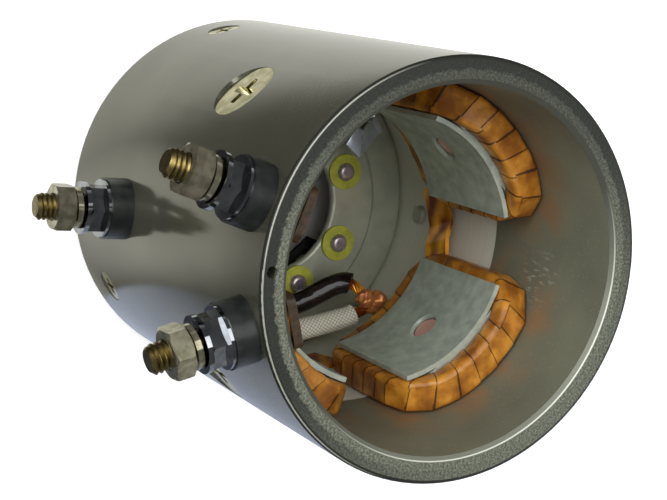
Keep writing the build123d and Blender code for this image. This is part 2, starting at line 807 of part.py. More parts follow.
def lead_splice():
    """Two soldered lumps, one round the bare end of each lead."""
    ends = (
        (armature_path, 1, armature_lump_radius, armature_lump_length),
        (brush_path, 0, brush_lump_radius, brush_lump_length),
    )
    lumps = []
    for path, end, radius, length in ends:
        lump = Cylinder(radius, length)
        lump = fillet(lump.edges().filter_by(GeomType.CIRCLE), splice_round_share * radius)
        lumps.append(Plane(origin=path @ end, z_dir=path % end) * lump)
    solid = lumps[0] + lumps[1]
    solid -= tube_along(armature_path, lead_radius + splice_clearance)
    return solid - tube_along(brush_path, brush_lead_radius + splice_clearance)


# Routes of the two leads, as inset from the bore, angle and rise over the plate
armature_run = [
    (3.6, -51.8, 17.3),
    (4.1, -36.9, 17.2),
    (6.0, -20.1, 17.1),
    (11.1, -2.7, 17.0),
    (12.1, 18.6, 17.1),
    (8.7, 38.5, 17.4),
    (7.6, 48.5, 18.2),
]
brush_run = [
    (11.2, 45.9, 18.4),
    (15.5, 49.0, 14.8),
    (19.0, 42.6, 12.0),
    (19.6, 28.6, 10.6),
    (18.7, 15.7, 9.8),
    (18.0, 4.3, 8.4),
]
brush_lead_drop = 4.4
lead_holder_angle = pole_angles[-1]
tab_point_x, tab_point_y = tab_point(lead_holder_angle)
barrel_x = lug_barrel_start + lug_barrel_length - lug_insert
wall_x = math.sqrt((bore_radius - lead_wall_gap) ** 2 - lug_barrel_place ** 2)
armature_path = route([
    (barrel_x, -lug_barrel_place, armature_height),
    (wall_x, -lug_barrel_place, armature_height),
    *over_plate(armature_run),
])
brush_path = route([
    *over_plate(brush_run),
    (tab_point_x, tab_point_y, plate_front + brush_lead_drop),
    (tab_point_x, tab_point_y, holder_base_bottom - brush_lead_tail),
])

save(field_frame(), "field_frame")

for i, angle in enumerate(pole_angles):
    place = Pos(0, 0, pole_height) * Rot(0, 0, angle)
    save(place * pole(), "pole_shoe_" + str(i + 1))
    save(place * coil(), "field_coil_" + str(i + 1))

save(group([outward(angle, pole_height) * pole_screw() for angle in pole_angles]), "pole_screws")

blocks = [Pos(0, 0, pole_height) * Rot(0, 0, angle) * coil_block() for angle in pole_angles]
link_height = frame_length - strap_middle_depth
for i in range(pole_count - 1):
    strap = Pos(0, 0, link_height) * Rot(0, 0, 360 / pole_count * i) * coil_link()
    save(strap - blocks[i] - blocks[i - 1], "coil_link_" + str(i + 1))

for i, (angle, height) in enumerate(terminals):
    number = str(i + 1)
    save(terminal_stud(angle, height), "terminal_stud_" + number)
    save(terminal_bushing(angle, height), "terminal_bushing_" + number)
    save(inner_insulator(angle, height), "inner_insulator_" + number)

save(group([outward(angle, height) * head_cap() for angle, height in terminals[:2]]), "head_caps")

stud_hole_radius = stud_radius + stud_clearance
hardware = {
    "fibre_washers": (fibre_washer_place, ring(stud_hole_radius, bushing_radius, fibre_washer_height)),
    "clamp_washers": (clamp_washer_place,
                      ring(stud_hole_radius, clamp_washer_radius, clamp_washer_thickness)),
    "base_nuts": (base_nut_place, hex_nut(base_nut_thickness, False)),
    "flat_washers": (flat_washer_place,
                     ring(stud_hole_radius, flat_washer_radius, flat_washer_thickness)),
    "lock_washers": (lock_washer_place, lock_washer()),
    "outer_nuts": (outer_nut_place, hex_nut(outer_nut_thickness, True)),
}
for name, (place, piece) in hardware.items():
    save(group([outward(angle, height, place) * piece for angle, height in terminals]), name)

for i, block in enumerate((blocks[-1], blocks[-2])):
    angle, height = terminals[i]
    save(coil_lead(angle, height) - block, "coil_lead_" + str(i + 1))
    save(coil_lead_cover(angle, height) - block, "coil_lead_cover_" + str(i + 1))

save(brush_plate(), "brush_plate")
screw_height = frame_length - plate_screw_depth
save(group([outward(angle, screw_height) * plate_screw() for angle in plate_screw_angles]), "plate_screws")
save(group([Pos(x, y, 0) * rivet() for x, y in rivet_places()]), "holder_rivets")
washer = ring(rivet_radius + rivet_clearance, rivet_washer_radius, rivet_washer_thickness)
save(group([Pos(x, y, plate_front) * washer for x, y in rivet_places()]), "rivet_washers")
for i, angle in enumerate(pole_angles):
    turn = Rot(0, 0, angle)
    number = str(i + 1)
    save(turn * brush_holder(), "brush_holder_" + number)
    save(turn * holder_insulator(), "holder_insulator_" + number)
    save(turn * brush_spring(), "brush_spring_" + number)
save(wall_pin(), "wall_pin")

save(armature_lug(), "armature_lug")
save(tube_along(armature_path, lead_radius), "armature_lead")
armature_sleeve = stretch(armature_path, lead_sleeve_start, armature_path.length - lead_bare_end)
save(tube_along(armature_sleeve, lead_sleeve_radius, lead_radius + lead_sleeve_clearance),
     "armature_lead_sleeve")
save(tube_along(brush_path, brush_lead_radius), "brush_lead")
plate_run = plate_back - holder_base_bottom + brush_lead_tail
brush_sleeve = stretch(brush_path, brush_sleeve_start, brush_path.length - plate_run)
save(tube_along(brush_sleeve, brush_sleeve_radius, brush_lead_radius + lead_sleeve_clearance),
     "brush_lead_sleeve")
save(lead_splice(), "lead_splice")
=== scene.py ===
import math
import random

import bmesh
import bpy
from mathutils import Matrix, Vector


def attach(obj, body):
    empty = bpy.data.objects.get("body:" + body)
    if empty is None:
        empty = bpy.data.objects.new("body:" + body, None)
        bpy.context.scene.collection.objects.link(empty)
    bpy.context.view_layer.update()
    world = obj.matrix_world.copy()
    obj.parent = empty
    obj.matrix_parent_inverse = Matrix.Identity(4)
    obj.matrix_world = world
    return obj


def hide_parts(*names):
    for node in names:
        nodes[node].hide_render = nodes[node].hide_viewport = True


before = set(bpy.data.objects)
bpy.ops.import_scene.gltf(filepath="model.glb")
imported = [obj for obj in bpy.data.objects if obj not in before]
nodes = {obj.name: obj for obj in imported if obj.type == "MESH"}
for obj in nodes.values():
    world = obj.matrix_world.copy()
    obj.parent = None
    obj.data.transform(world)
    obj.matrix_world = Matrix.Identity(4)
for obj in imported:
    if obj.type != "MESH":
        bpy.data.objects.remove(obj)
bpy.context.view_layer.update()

mm = 0.001  # the frame is in metres, and the sizes of pieces and patterns below are in millimetres
poleNumbers = range(1, 5)
terminalNumbers = range(1, 4)  # and of the links between the coils


# small helpers for materials

def linear(hexColour):
    channels = [int(hexColour[i:i + 2], 16) / 255 for i in (1, 3, 5)]
    return [c / 12.92 if c <= 0.04045 else ((c + 0.055) / 1.055) ** 2.4 for c in channels] + [1.0]


def addNode(tree, kind, inputs=None, stops=None, **settings):
    node = tree.nodes.new("ShaderNode" + kind)
    for name, value in settings.items():
        setattr(node, name, value)
    for i, (place, colour) in enumerate(stops or []):  # colour ramp
        ramp = node.color_ramp.elements
        stop = ramp[i] if i < 2 else ramp.new(place)
        stop.position = place
        stop.color = linear(colour)
    for name, value in (inputs or {}).items():
        if isinstance(value, bpy.types.NodeSocket):
            tree.links.new(value, node.inputs[name])
        else:
            node.inputs[name].default_value = linear(value) if isinstance(value, str) else value
    return node


def newMaterial(name):
    material = bpy.data.materials.new(name)
    material.use_nodes = True
    material.node_tree.nodes.clear()
    return material, material.node_tree


def closeMaterial(tree, shader):
    addNode(tree, "OutputMaterial", {"Surface": shader.outputs[0]})


def objectMillimetres(tree):
    place = addNode(tree, "TexCoord").outputs["Object"]
    return addNode(tree, "VectorMath", {0: place, "Scale": 1 / mm}, operation="SCALE").outputs[0]


def dress(names, material):
    for name in names:
        mesh = nodes[name].data
        if mesh.materials:
            mesh.materials[0] = material
        else:
            mesh.materials.append(material)


# camera and lamps, in metres

cameraSetup = {
    "place": (-0.06928, -0.23413, 0.49028),
    "right": (-0.10302, 0.87705, 0.46924),
    "up": (-0.98250, -0.01612, -0.18559),
    "back": (-0.15521, -0.48014, 0.86335),
    "lens": 88.52,
    "clipStart": 0.01,
}
cameraData = bpy.data.cameras.new("camera")
cameraData.lens = cameraSetup["lens"]
cameraData.clip_start = cameraSetup["clipStart"]
camera = bpy.data.objects.new("camera", cameraData)
bpy.context.collection.objects.link(camera)
turn = Matrix([cameraSetup["right"], cameraSetup["up"], cameraSetup["back"]]).transposed()
camera.matrix_world = Matrix.Translation(cameraSetup["place"]) @ turn.to_4x4()
bpy.context.scene.camera = camera
bpy.context.scene.view_settings.view_transform = "Standard"

lampSetup = {
    "softTop": {"place": (-0.25, -0.10, 1.10), "size": 0.8, "power": 5.0},
    "softLeft": {"place": (-0.48, -0.82, 0.70), "size": 0.7, "power": 7.5},
    "softRight": {"place": (0.20, 1.00, 0.70), "size": 0.8, "power": 3.0},
}
lampAim = Vector((0, 0, 0.08))
for lampName, lamp in lampSetup.items():
    lampData = bpy.data.lights.new(lampName, "AREA")
    lampData.size = lamp["size"]
    lampData.energy = lamp["power"]
    lampObject = bpy.data.objects.new(lampName, lampData)
    lampObject.location = lamp["place"]
    lampObject.rotation_euler = (lampAim - lampObject.location).to_track_quat("-Z", "Y").to_euler()
    bpy.context.collection.objects.link(lampObject)


# sky: soft on matt surfaces, white behind the object, and for gloss a pale horizon under a darker room

skySetup = {
    "soft": 0.45, "behind": 1.0, "horizon": 0.6, "overhead": 0.12, "horizonEnd": 0.04, "overheadStart": 0.3,
}
world = bpy.data.worlds.new("studio")
bpy.context.scene.world = world
world.use_nodes = True
tree = world.node_tree
tree.nodes.clear()
rays = addNode(tree, "LightPath").outputs
direction = addNode(tree, "TexCoord").outputs["Generated"]
rise = addNode(tree, "SeparateXYZ", {0: direction}).outputs["Z"]
mirrored = addNode(tree, "MapRange", {
    "Value": rise, "From Min": skySetup["horizonEnd"], "From Max": skySetup["overheadStart"],
    "To Min": skySetup["horizon"], "To Max": skySetup["overhead"]}).outputs[0]
level = addNode(tree, "MixRGB", {
    "Fac": rays["Is Glossy Ray"], "Color1": [skySetup["soft"]] * 4, "Color2": mirrored}).outputs[0]
seen = addNode(tree, "Math", {0: rays["Is Camera Ray"], 1: rays["Is Transmission Ray"]},
               operation="MAXIMUM").outputs[0]
level = addNode(tree, "MixRGB", {"Fac": seen, "Color1": level, "Color2": [skySetup["behind"]] * 4}).outputs[0]
sky = addNode(tree, "Background", {"Color": level, "Strength": 1.0})
addNode(tree, "OutputWorld", {"Surface": sky.outputs[0]})


# floor: pale paper that keeps the shadow. For gloss it glows instead in painted reflections: light patches
# near the tube and a bluish patch to one side, dark further out

floorSetup = {  # places and radii in metres
    "size": 4.0, "paper": "#F4F4F4", "glow": 0.45, "glowTone": "#FFFFFF", "tubeRadius": 0.057,
    "paintedReflectionSpots": [  # painted reflections, light patches: place, full radius and end radius
        ((-0.030, 0.030, 0.0), 0.083, 0.113),
        ((0.006, -0.085, 0.0), 0.020, 0.054),
    ],
    "mirrorTone": "#F8F8F0", "mirrorNear": 1.0, "mirrorFar": 0.06,
    "paintedPatchTone": "#D4DEF4", "paintedPatchAcross": (1.0, 0.38, 0.0), "paintedPatchEdge": 0.0185, "paintedPatchBlur": 0.003,
    "paintedPatchGlow": 0.86, "paintedPatchFade": 0.66, "fadeStart": 0.030, "fadeEnd": 0.085,
    "footShare": 0.14, "footEnd": -0.095, "footStart": -0.060,
}
floorMaterial, tree = newMaterial("palePaperFloor")
rays = addNode(tree, "LightPath").outputs
floorPlace = addNode(tree, "TexCoord").outputs["Object"]
fromAxis = addNode(tree, "VectorMath", {0: floorPlace}, operation="LENGTH").outputs["Value"]
outsideTube = addNode(tree, "Math", {0: fromAxis, 1: floorSetup["tubeRadius"]},
                      operation="GREATER_THAN").outputs[0]
glow = addNode(tree, "Math", {0: rays["Is Camera Ray"], 1: outsideTube}, operation="MULTIPLY").outputs[0]
glow = addNode(tree, "Math", {0: glow, 1: floorSetup["glow"]}, operation="MULTIPLY").outputs[0]
glow = addNode(tree, "Emission", {"Color": floorSetup["glowTone"], "Strength": glow}).outputs[0]
paper = addNode(tree, "BsdfDiffuse", {"Color": floorSetup["paper"]}).outputs[0]
paper = addNode(tree, "AddShader", {0: paper, 1: glow}).outputs[0]

# painted reflections: light patches on the floor that only gloss sees
paintedReflectionSpots = []
for spotPlace, fullRadius, endRadius in floorSetup["paintedReflectionSpots"]:
    fromSpot = addNode(tree, "VectorMath", {0: floorPlace, 1: spotPlace},
                       operation="DISTANCE").outputs["Value"]
    paintedReflectionSpots.append(addNode(tree, "MapRange", {"Value": fromSpot, "From Min": endRadius, "From Max": fullRadius},
                         interpolation_type="SMOOTHSTEP").outputs[0])
mirrored = addNode(tree, "Math", {0: paintedReflectionSpots[0], 1: paintedReflectionSpots[1]}, operation="MAXIMUM").outputs[0]
mirrored = addNode(tree, "MapRange", {
    "Value": mirrored, "To Min": floorSetup["mirrorFar"], "To Max": floorSetup["mirrorNear"]}).outputs[0]
mirrored = addNode(tree, "MixRGB", {"Fac": 1.0, "Color1": mirrored, "Color2": floorSetup["mirrorTone"]},
                   blend_type="MULTIPLY").outputs[0]

# painted reflection: a bluish patch that only gloss sees, on the +X side of the floor, dimmer further out and
# towards -Y
lean = addNode(tree, "VectorMath", {0: floorPlace, 1: floorSetup["paintedPatchAcross"]},
               operation="DOT_PRODUCT").outputs["Value"]
paintedPatch = addNode(tree, "MapRange", {
    "Value": lean, "From Min": floorSetup["paintedPatchEdge"],
    "From Max": floorSetup["paintedPatchEdge"] + floorSetup["paintedPatchBlur"]}).outputs[0]
fade = addNode(tree, "MapRange", {
    "Value": lean, "From Min": floorSetup["fadeStart"], "From Max": floorSetup["fadeEnd"],
    "To Min": floorSetup["paintedPatchGlow"], "To Max": floorSetup["paintedPatchFade"]}).outputs[0]
floorY = addNode(tree, "SeparateXYZ", {0: floorPlace}).outputs["Y"]
foot = addNode(tree, "MapRange", {
    "Value": floorY, "From Min": floorSetup["footEnd"], "From Max": floorSetup["footStart"],
    "To Min": floorSetup["footShare"]}).outputs[0]
fade = addNode(tree, "Math", {0: fade, 1: foot}, operation="MULTIPLY").outputs[0]
paintedPatchLight = addNode(tree, "VectorMath", {0: linear(floorSetup["paintedPatchTone"])[:3], "Scale": fade},
               operation="SCALE").outputs[0]
mirrored = addNode(tree, "MixRGB", {"Fac": paintedPatch, "Color1": mirrored, "Color2": paintedPatchLight}).outputs[0]
mirrored = addNode(tree, "Emission", {"Color": mirrored, "Strength": outsideTube}).outputs[0]
closeMaterial(tree, addNode(tree, "MixShader", {0: rays["Is Glossy Ray"], 1: paper, 2: mirrored}))

floorMesh = bmesh.new()
bmesh.ops.create_grid(floorMesh, x_segments=1, y_segments=1, size=floorSetup["size"])
floorData = bpy.data.meshes.new("floor")
floorMesh.to_mesh(floorData)
floorMesh.free()
floorData.materials.append(floorMaterial)
floor = bpy.data.objects.new("floor", floorData)
bpy.context.collection.objects.link(floor)
print("stage set")


# tube: rolled steel, sprayed with glossy olive enamel, with a filed rim and a turned band in its bore

tube = {
    "chipStart": 53.05, "chipEnd": 53.75,  # the radius at which the filed rim turns to paint
    "poleAngle": 90.0, "arcRadius": 50.0,
    "coilMiddle": 80.15, "coilHalfLength": 28.85, "coilHalfArc": 29.9, "coilCorner": 12.0, "sprayReach": 16.0,
    "scuffPlace": (8.0, 49.7, 106.0), "lowerRight": (0.7, 0.5, 0.0),
    "scratchSpread": 140.0, "scratchWidth": 0.03,  # scratches are level lines of a slow noise
    "coat": [(0.35, "#58584B"), (0.65, "#656558")], "speckTone": "#2A2822",
    "filed": [(0.36, "#464A3D"), (0.5, "#666A5B"), (0.64, "#828677")],
    "film": [(0.4, "#20231D"), (0.65, "#30332B")],
    "edgeShadeTone": "#23251F", "edgeHighlightTone": "#A4A698",
    "bevelShade": "#4E5147", "bevelTone": "#7C7F72", "glintTone": "#DCDED0",
    # the turned band is bare steel with lathe rings, and its near-white tone is partly a painted reflection
    "bore": [(0.35, "#6E7060"), (0.65, "#80826F")], "turned": [(0.3, "#DCDED0"), (0.7, "#F4F6EA")],
    "fleckTone": "#B8B4A8", "scuffTone": "#ACAC9E", "sprayTone": "#9A7650",
    "enamelRoughness": 0.14, "dullRoughness": 0.5, "enamelMetal": 0.6, "dullMetal": 0.2, "ior": 1.5,
    "rimBump": 0.12,
    "noise": {  # size of a mark along X, Y and Z, detail and roughness
        "cloud": ((33.333, 33.333, 33.333), 3.0, 0.5),
        "dust": ((1.8182, 1.8182, 1.8182), 2.0, 0.5),
        "grit": ((0.625, 0.625, 0.625), 4.0, 0.6),  # file marks and flecks, coarser than real to show
        "chips": ((1.2, 1.2, 1.2), 3.0, 0.5),
        "puffs": ((11.111, 11.111, 11.111), 4.0, 0.5),
        "scuffs": ((0.83333, 0.83333, 3.3333), 3.0, 0.5),
        "scratches": ((20.0, 20.0, 50.0), 1.0, 0.5),
        "lathe": ((math.inf, math.inf, 0.625), 3.0, 0.5),  # rings round the bore
    },
    "slopes": {  # what is measured, where the slope starts and ends, and its values there
        "specks": ("dust", 0.74, 0.78, 0.0, 1.0),
        "chipReach": ("chips", 0.0, 1.0, 1.2, -1.2),
        "filmSide": ("lean", 45.0, -5.0, 0.05, 1.0),
        "topShade": ("X", -5.0, -40.0, 1.0, 0.42),
        # where the painted highlight on the rim's outer edge shows
        "leftSide": ("Y", -15.0, -35.0, 0.0, 1.0),
        "rightSide": ("lean", 5.0, 30.0, 0.0, 1.0),
        "puffs": ("puffs", 0.38, 0.62, 0.0, 0.75),
        "flecks": ("grit", 0.62, 0.70, 0.0, 0.45),
        "scuffs": ("scuffs", 0.56, 0.65, 0.0, 1.0),
        "scuffPatch": ("fromScuff", 11.0, 3.0, 0.0, 1.0),
    },
    "bands": {  # what is measured, how, at which value, and the half width of a line
        "inBore": ("radius", "LESS_THAN", 50.6, 0.0),
        "bevel": ("radius", "LESS_THAN", 51.0, 0.0),
        "glint": ("radius", "COMPARE", 50.75, 0.14),
        # painted shade: the rounded outer edge of the rim, which turns away from the light, is painted darker
        "edge": ("radius", "GREATER_THAN", 55.9, 0.0),
        # painted highlight: a thin bright line on the rounded outer edge of the rim, on the -Y side only
        "wornLine": ("radius", "COMPARE", 56.6, 0.16),
        "onRim": ("Z", "GREATER_THAN", 136.2, 0.0),
        "turned": ("Z", "LESS_THAN", 80.5, 0.0),
    },
}
# gloss enamel mirrors the studio, and the filed rim and the bore are dull
enamel, tree = newMaterial("oliveEnamelOnSteel")
place = objectMillimetres(tree)
parts = addNode(tree, "SeparateXYZ", {0: place}).outputs
across = addNode(tree, "VectorMath", {0: place, 1: (1, 1, 0)}, operation="MULTIPLY").outputs[0]
measures = {
    "X": parts["X"], "Y": parts["Y"], "Z": parts["Z"],
    "radius": addNode(tree, "VectorMath", {0: across}, operation="LENGTH").outputs["Value"],
    "lean": addNode(tree, "VectorMath", {0: place, 1: tube["lowerRight"]},
                    operation="DOT_PRODUCT").outputs["Value"],
    "fromScuff": addNode(tree, "VectorMath", {0: place, 1: tube["scuffPlace"]},
                         operation="DISTANCE").outputs["Value"],
}
for name, (sizes, detail, roughness) in tube["noise"].items():
    spot = addNode(tree, "VectorMath", {0: place, 1: [1 / size for size in sizes]},
                   operation="MULTIPLY").outputs[0]
    measures[name] = addNode(tree, "TexNoise", {
        "Vector": spot, "Scale": 1.0, "Detail": detail, "Roughness": roughness}).outputs["Fac"]
shares = {}  # how much of each mark shows
for name, (measure, start, end, low, high) in tube["slopes"].items():
    shares[name] = addNode(tree, "MapRange", {
        "Value": measures[measure], "From Min": start, "From Max": end,
        "To Min": low, "To Max": high}).outputs[0]
for name, (measure, operation, edge, halfWidth) in tube["bands"].items():
    shares[name] = addNode(tree, "Math", {0: measures[measure], 1: edge, 2: halfWidth},
                           operation=operation).outputs[0]

chipped = addNode(tree, "Math", {0: measures["radius"], 1: shares["chipReach"]}, operation="ADD").outputs[0]
shares["painted"] = addNode(tree, "MapRange", {
    "Value": chipped, "From Min": tube["chipStart"], "From Max": tube["chipEnd"]}).outputs[0]
scratches = measures["scratches"]
for operation, amount in (("MULTIPLY", tube["scratchSpread"]), ("FRACT", 0.0),
                          ("LESS_THAN", tube["scratchWidth"])):
    scratches = addNode(tree, "Math", {0: scratches, 1: amount}, operation=operation).outputs[0]
shares["scratches"] = scratches

arc = addNode(tree, "Math", {0: parts["Y"], 1: parts["X"]}, operation="ARCTAN2").outputs[0]
for operation, amount in (  # along the wall, to where the rounding of the nearest coil starts
        ("MULTIPLY", math.degrees(1)), ("FLOORED_MODULO", tube["poleAngle"]),
        ("SUBTRACT", tube["poleAngle"] / 2), ("ABSOLUTE", 0.0), ("MULTIPLY", math.radians(tube["arcRadius"])),
        ("SUBTRACT", tube["coilHalfArc"] - tube["coilCorner"])):
    arc = addNode(tree, "Math", {0: arc, 1: amount}, operation=operation).outputs[0]
rise = parts["Z"]  # and the same up the bore
for operation, amount in (("SUBTRACT", tube["coilMiddle"]), ("ABSOLUTE", 0.0),
                          ("SUBTRACT", tube["coilHalfLength"] - tube["coilCorner"])):
    rise = addNode(tree, "Math", {0: rise, 1: amount}, operation=operation).outputs[0]
corner = addNode(tree, "CombineXYZ", {"X": arc, "Y": rise}).outputs[0]
corner = addNode(tree, "VectorMath", {0: corner, 1: (0, 0, 0)}, operation="MAXIMUM").outputs[0]
fromCoil = addNode(tree, "VectorMath", {0: corner}, operation="LENGTH").outputs["Value"]
shares["spray"] = addNode(tree, "MapRange", {
    "Value": fromCoil, "From Min": tube["coilCorner"] + tube["sprayReach"], "From Max": tube["coilCorner"]},
    interpolation_type="SMOOTHSTEP").outputs[0]

for name, first, second in (("film", "filmSide", "painted"), ("edgeHighlight", "wornLine", "leftSide"),
                            ("scuffs", "scuffs", "scuffPatch"), ("scratches", "scratches", "flecks"),
                            ("spray", "spray", "puffs")):
    shares[name] = addNode(tree, "Math", {0: shares[first], 1: shares[second]},
                           operation="MULTIPLY").outputs[0]
shares["scuffs"] = addNode(tree, "Math", {0: shares["scuffs"], 1: shares["scratches"]},
                           operation="MAXIMUM").outputs[0]

tones = {}
for name, measure in (("coat", "cloud"), ("filed", "grit"), ("film", "grit"), ("bore", "cloud"),
                      ("turned", "lathe")):
    tones[name] = addNode(tree, "ValToRGB", {"Fac": measures[measure]}, stops=tube[name]).outputs[0]
tones["filed"] = addNode(tree, "VectorMath", {0: tones["filed"], "Scale": shares["topShade"]},
                         operation="SCALE").outputs[0]
for name, share, under, over in (  # the share mixes the upper tone over the lower one
        ("coat", "specks", "coat", tube["speckTone"]), ("rim", "film", "filed", "film"),
        ("rim", "edge", "rim", tube["edgeShadeTone"]), ("rim", "edgeHighlight", "rim", tube["edgeHighlightTone"]),
        ("bevel", "glint", tube["bevelTone"], tube["glintTone"]),
        ("bevel", "rightSide", tube["bevelShade"], "bevel"), ("rim", "bevel", "rim", "bevel"),
        ("bore", "flecks", "bore", tube["fleckTone"]), ("bore", "scuffs", "bore", tube["scuffTone"]),
        ("bore", "spray", "bore", tube["sprayTone"]), ("bore", "turned", "bore", "turned"),
        ("tube", "inBore", "coat", "bore"), ("tube", "onRim", "tube", "rim")):
    tones[name] = addNode(tree, "MixRGB", {
        "Fac": shares[share], "Color1": tones.get(under, under), "Color2": tones.get(over, over)}).outputs[0]

dull = addNode(tree, "Math", {0: shares["inBore"], 1: shares["onRim"]}, operation="MAXIMUM").outputs[0]
roughness = addNode(tree, "MapRange", {
    "Value": dull, "To Min": tube["enamelRoughness"], "To Max": tube["dullRoughness"]}).outputs[0]
metal = addNode(tree, "MapRange", {
    "Value": dull, "To Min": tube["enamelMetal"], "To Max": tube["dullMetal"]}).outputs[0]
lift = addNode(tree, "Math", {0: measures["grit"], 1: shares["onRim"]}, operation="MULTIPLY").outputs[0]
bump = addNode(tree, "Bump", {
    "Height": lift, "Strength": shares["onRim"], "Distance": tube["rimBump"] * mm}).outputs[0]
closeMaterial(tree, addNode(tree, "BsdfPrincipled", {
    "Base Color": tones["tube"], "Roughness": roughness, "Metallic": metal, "Normal": bump,
    "IOR": tube["ior"]}))
dress(["field_frame"], enamel)
print("tube enamelled")


# finishes with an even grain: metals vary in tone and gloss, and plastic, fibre and cloth in tone alone

grainSetup = {"darkStop": 0.35, "lightStop": 0.65, "bumpStrength": 0.5, "dullest": 1.4, "glossiest": 0.7}


def grainyFinish(name, light, dark, roughness, grain, bump, metallic=0.0, detail=4.0):  # grain and bump in mm
    material, tree = newMaterial(name)
    pattern = addNode(tree, "TexNoise", {
        "Vector": objectMillimetres(tree), "Scale": 1 / grain, "Detail": detail}).outputs["Fac"]
    tone = addNode(tree, "ValToRGB", {"Fac": pattern},
                   stops=[(grainSetup["darkStop"], dark), (grainSetup["lightStop"], light)]).outputs[0]
    relief = addNode(tree, "Bump", {
        "Height": pattern, "Strength": grainSetup["bumpStrength"], "Distance": bump * mm}).outputs[0]
    if metallic:
        roughness = addNode(tree, "MapRange", {
            "Value": pattern, "To Min": roughness * grainSetup["dullest"],
            "To Max": roughness * grainSetup["glossiest"]}).outputs[0]
    closeMaterial(tree, addNode(tree, "BsdfPrincipled", {
        "Base Color": tone, "Roughness": roughness, "Metallic": metallic, "Normal": relief}))
    return material


# dull grey-green sheet under a film of oil
poleSteel = grainyFinish("oiledSheetSteel", "#C2CCBE", "#A8B2A6", roughness=0.42, grain=4.0, bump=0.01,
                         metallic=0.3)
# straw-coloured passivation over bright zinc
yellowZinc = grainyFinish("yellowZincPlate", "#B0AC94", "#86826A", roughness=0.14, grain=2.5, bump=0.01,
                          metallic=0.82)
# near mirror, which shows the dark room and white glints
brightNickel = grainyFinish("brightNickelPlate", "#A2A5A8", "#7E8286", roughness=0.05, grain=5.0, bump=0.005,
                            metallic=1.0)
# rolled thread, whose plating is browner than that of the nuts
goldThread = grainyFinish("yellowZincThread", "#8E7E50", "#6A5E38", roughness=0.34, grain=2.0, bump=0.005,
                          metallic=1.0)
# copper under amber varnish, patched at random in bright gold and dark brown: painted highlights and painted
# shade that stand in for glints and shadows
copper = grainyFinish("varnishedCopperStrap", "#FFAE34", "#7A380E", roughness=0.16, grain=6.0, bump=0.6,
                      metallic=0.5, detail=0.5)
# tin and copper mixed in one rough lump
solderedCopper = grainyFinish("solderedCopperJoint", "#EEA458", "#B8684A", roughness=0.34, grain=2.5,
                              bump=0.3, metallic=0.45)
# pressed heads with a faint pink cast
rivetSteel = grainyFinish("oiledRivetHead", "#C8BCC2", "#A89EA4", roughness=0.26, grain=2.5, bump=0.005,
                          metallic=0.7)
# dark strip, hardened and blued
springSteel = grainyFinish("bluedSpringStrip", "#6A6C72", "#484A50", roughness=0.3, grain=2.0, bump=0.02,
                           metallic=1.0)
# plain zinc on folded sheet
holderSteel = grainyFinish("zincHolderSheet", "#8E8F8C", "#747572", roughness=0.36, grain=5.0, bump=0.01,
                           metallic=1.0)
# grey zinc on a pressing, satin
plateSteel = grainyFinish("greyZincPressing", "#B4B8A6", "#A2A696", roughness=0.36, grain=7.0, bump=0.01,
                          metallic=0.3)
# bright sheet with a satin shine, tinted pale blue as a painted reflection
clipSteel = grainyFinish("brightClipSheet", "#D2DAE6", "#B6BECC", roughness=0.25, grain=6.0, bump=0.01,
                         metallic=0.45)
# moulded, nearly black, with a soft shine
phenolic = grainyFinish("blackPhenolicMoulding", "#262A28", "#161918", roughness=0.34, grain=4.0, bump=0.02)
# punched red-brown sheet without a shine
fibre = grainyFinish("redVulcanisedFibre", "#6A4028", "#4E2E1E", roughness=0.5, grain=1.0, bump=0.05)
# loud yellow-green film on thin washers
chromate = grainyFinish("yellowGreenChromate", "#C0C24A", "#A6AA3A", roughness=0.34, grain=2.5, bump=0.02)
# brown cloth soaked in varnish
capCloth = grainyFinish("varnishedCapCloth", "#4A361C", "#2C2012", roughness=0.4, grain=1.5, bump=0.1)

screwLook = {
    "pointEnd": 41.0, "grain": 3.3333, "detail": 3.0, "heads": [(0.35, "#B4AE84"), (0.65, "#DAD4AC")],
    "points": "#D8A898", "headMetal": 1.0, "pointMetal": 0.15, "roughness": 0.22,
}
# pale gold plate on the heads, and pale pink points, matt and light: partly their own copper tone, partly
# painted light that lifts them out of the shade in the holes
screwZinc, tree = newMaterial("yellowZincScrew")
place = objectMillimetres(tree)
fromAxis = addNode(tree, "VectorMath", {0: place, 1: (1, 1, 0)}, operation="MULTIPLY").outputs[0]
fromAxis = addNode(tree, "VectorMath", {0: fromAxis}, operation="LENGTH").outputs["Value"]
atPoint = addNode(tree, "Math", {0: fromAxis, 1: screwLook["pointEnd"]}, operation="LESS_THAN").outputs[0]
grain = addNode(tree, "TexNoise", {
    "Vector": place, "Scale": 1 / screwLook["grain"], "Detail": screwLook["detail"]}).outputs["Fac"]
plate = addNode(tree, "ValToRGB", {"Fac": grain}, stops=screwLook["heads"]).outputs[0]
plate = addNode(tree, "MixRGB", {"Fac": atPoint, "Color1": plate, "Color2": screwLook["points"]}).outputs[0]
plated = addNode(tree, "MapRange", {
    "Value": atPoint, "To Min": screwLook["headMetal"], "To Max": screwLook["pointMetal"]}).outputs[0]
closeMaterial(tree, addNode(tree, "BsdfPrincipled", {
    "Base Color": plate, "Roughness": screwLook["roughness"], "Metallic": plated}))


# pieces made here stand in the frame of the tube, with their sizes in millimetres until they are kept

mergeGap = 0.002


def keepPiece(name, mesh, material, slot, sharpAngle, *replaced):
    bmesh.ops.remove_doubles(mesh, verts=mesh.verts, dist=mergeGap)
    bmesh.ops.recalc_face_normals(mesh, faces=mesh.faces)
    bmesh.ops.scale(mesh, vec=(mm, mm, mm), verts=mesh.verts)
    data = bpy.data.meshes.new(name)
    mesh.to_mesh(data)
    mesh.free()
    data.shade_smooth()
    data.set_sharp_from_angle(angle=math.radians(sharpAngle))
    data.materials.append(material)
    piece = bpy.data.objects.new(name, data)
    bpy.context.collection.objects.link(piece)
    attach(piece, "root")
    if replaced:
        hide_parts(*replaced)


